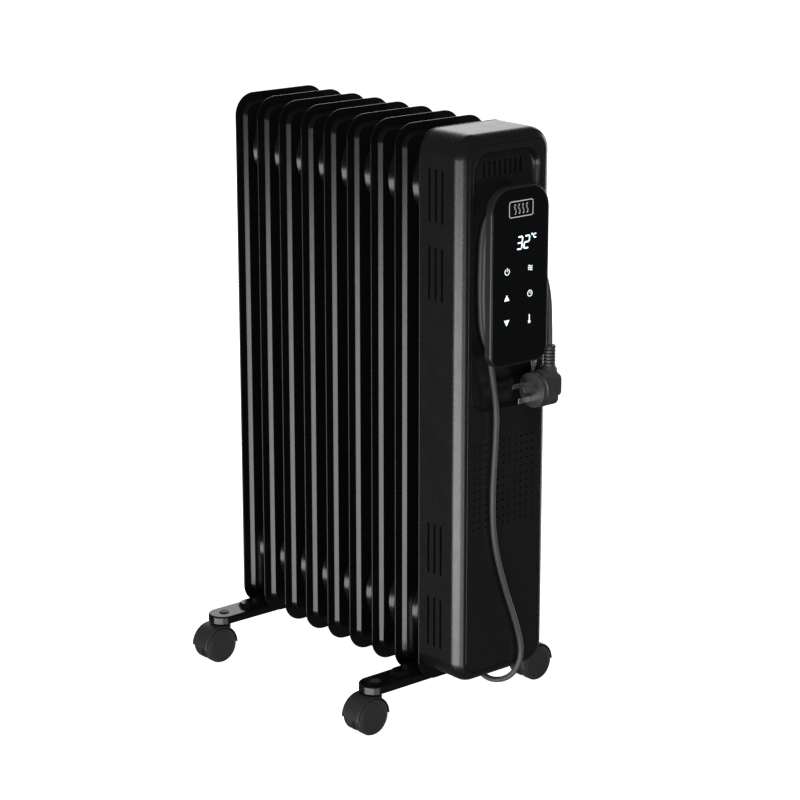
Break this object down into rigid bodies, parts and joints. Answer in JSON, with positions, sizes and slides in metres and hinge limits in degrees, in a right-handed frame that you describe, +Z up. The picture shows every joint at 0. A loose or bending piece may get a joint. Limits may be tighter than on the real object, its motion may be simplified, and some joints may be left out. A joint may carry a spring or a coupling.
{
  "type": "oil filled radiator heater",
  "caption": "Free-standing finned oil filled radiator on twin wheel castors, with a front control housing, touch pod and wound mains cord with plug.",
  "frame": {"origin": "on the floor, under the middle of the heater without its mains cord", "axes": "+Z up, -Y towards the control panel's front, +X to the right hand side seen from the front"},
  "size_m": [0.2794, 0.4085, 0.6315],
  "materials": {
    "enamel": "gloss black enamel",
    "housing_plastic": "satin black",
    "panel_plastic": "smooth black",
    "gloss_panel": "gloss black with lit symbols",
    "castor_plastic": "matte dark grey",
    "cord_jacket": "matte dark grey",
    "plug_moulding": "matte dark grey",
    "zinc_steel": "bright zinc",
    "shield_steel": "heat proof black",
    "nickel": "nickel plated",
    "element_sheath": "tempered sheath",
    "circuit_board": "green solder mask",
    "moulding": "pale moulding"
  },
  "bodies": {
    "frame": {"fin_1": "enamel", "fin_2": "enamel", "fin_3": "enamel", "fin_4": "enamel", "fin_5": "enamel", "fin_6": "enamel", "fin_7": "enamel", "fin_8": "enamel", "fin_9": "enamel", "heating_element": "element_sheath", "element_flange": "zinc_steel", "housing_shell": "housing_plastic", "front_panel": "panel_plastic", "heat_shield": "shield_steel", "power_board": "circuit_board", "thermal_cutout": "moulding", "terminal_block": "moulding", "tip_over_switch": "moulding", "cord_spool": "panel_plastic", "pod_shell": "panel_plastic", "touch_panel": "gloss_panel", "display_board": "circuit_board", "cord_gland": "cord_jacket", "cord_winding": "cord_jacket", "cord_lower_run": "cord_jacket", "cord_plug_run": "cord_jacket", "plug_body": "plug_moulding", "plug_pin_line": "nickel", "plug_pin_neutral": "nickel", "plug_pin_earth": "nickel", "front_foot_bracket": "enamel", "front_u_bolt": "zinc_steel", "front_wing_nut_left": "zinc_steel", "front_wing_nut_right": "zinc_steel", "rear_foot_bracket": "enamel", "rear_u_bolt": "zinc_steel", "rear_wing_nut_left": "zinc_steel", "rear_wing_nut_right": "zinc_steel"},
    "castor_front_left": {"castor_hood_front_left": "castor_plastic", "castor_stem_front_left": "zinc_steel", "castor_axle_front_left": "zinc_steel"},
    "wheel_front_left_front": {"wheel_front_left_front": "castor_plastic"},
    "wheel_front_left_rear": {"wheel_front_left_rear": "castor_plastic"},
    "castor_front_right": {"castor_hood_front_right": "castor_plastic", "castor_stem_front_right": "zinc_steel", "castor_axle_front_right": "zinc_steel"},
    "wheel_front_right_front": {"wheel_front_right_front": "castor_plastic"},
    "wheel_front_right_rear": {"wheel_front_right_rear": "castor_plastic"},
    "castor_rear_left": {"castor_hood_rear_left": "castor_plastic", "castor_stem_rear_left": "zinc_steel", "castor_axle_rear_left": "zinc_steel"},
    "wheel_rear_left_front": {"wheel_rear_left_front": "castor_plastic"},
    "wheel_rear_left_rear": {"wheel_rear_left_rear": "castor_plastic"},
    "castor_rear_right": {"castor_hood_rear_right": "castor_plastic", "castor_stem_rear_right": "zinc_steel", "castor_axle_rear_right": "zinc_steel"},
    "wheel_rear_right_front": {"wheel_rear_right_front": "castor_plastic"},
    "wheel_rear_right_rear": {"wheel_rear_right_rear": "castor_plastic"}
  },
  "joints": [
    {"name": "castor_front_left_swivel", "type": "hinge", "parent": "frame", "child": "castor_front_left", "pos_m": [-0.104, -0.09635, 0.045], "axis": [0, 0, 1], "continuous": true},
    {"name": "wheel_front_left_front_spin", "type": "hinge", "parent": "castor_front_left", "child": "wheel_front_left_front", "pos_m": [-0.11745, -0.09635, 0.0196], "axis": [0, 1, 0], "continuous": true},
    {"name": "wheel_front_left_rear_spin", "type": "hinge", "parent": "castor_front_left", "child": "wheel_front_left_rear", "pos_m": [-0.11745, -0.09635, 0.0196], "axis": [0, 1, 0], "continuous": true},
    {"name": "castor_front_right_swivel", "type": "hinge", "parent": "frame", "child": "castor_front_right", "pos_m": [0.104, -0.09635, 0.045], "axis": [0, 0, 1], "continuous": true},
    {"name": "wheel_front_right_front_spin", "type": "hinge", "parent": "castor_front_right", "child": "wheel_front_right_front", "pos_m": [0.11745, -0.09635, 0.0196], "axis": [0, 1, 0], "continuous": true},
    {"name": "wheel_front_right_rear_spin", "type": "hinge", "parent": "castor_front_right", "child": "wheel_front_right_rear", "pos_m": [0.11745, -0.09635, 0.0196], "axis": [0, 1, 0], "continuous": true},
    {"name": "castor_rear_left_swivel", "type": "hinge", "parent": "frame", "child": "castor_rear_left", "pos_m": [-0.104, 0.16965, 0.045], "axis": [0, 0, 1], "continuous": true},
    {"name": "wheel_rear_left_front_spin", "type": "hinge", "parent": "castor_rear_left", "child": "wheel_rear_left_front", "pos_m": [-0.11745, 0.16965, 0.0196], "axis": [0, 1, 0], "continuous": true},
    {"name": "wheel_rear_left_rear_spin", "type": "hinge", "parent": "castor_rear_left", "child": "wheel_rear_left_rear", "pos_m": [-0.11745, 0.16965, 0.0196], "axis": [0, 1, 0], "continuous": true},
    {"name": "castor_rear_right_swivel", "type": "hinge", "parent": "frame", "child": "castor_rear_right", "pos_m": [0.104, 0.16965, 0.045], "axis": [0, 0, 1], "continuous": true},
    {"name": "wheel_rear_right_front_spin", "type": "hinge", "parent": "castor_rear_right", "child": "wheel_rear_right_front", "pos_m": [0.11745, 0.16965, 0.0196], "axis": [0, 1, 0], "continuous": true},
    {"name": "wheel_rear_right_rear_spin", "type": "hinge", "parent": "castor_rear_right", "child": "wheel_rear_right_rear", "pos_m": [0.11745, 0.16965, 0.0196], "axis": [0, 1, 0], "continuous": true}
  ]
}
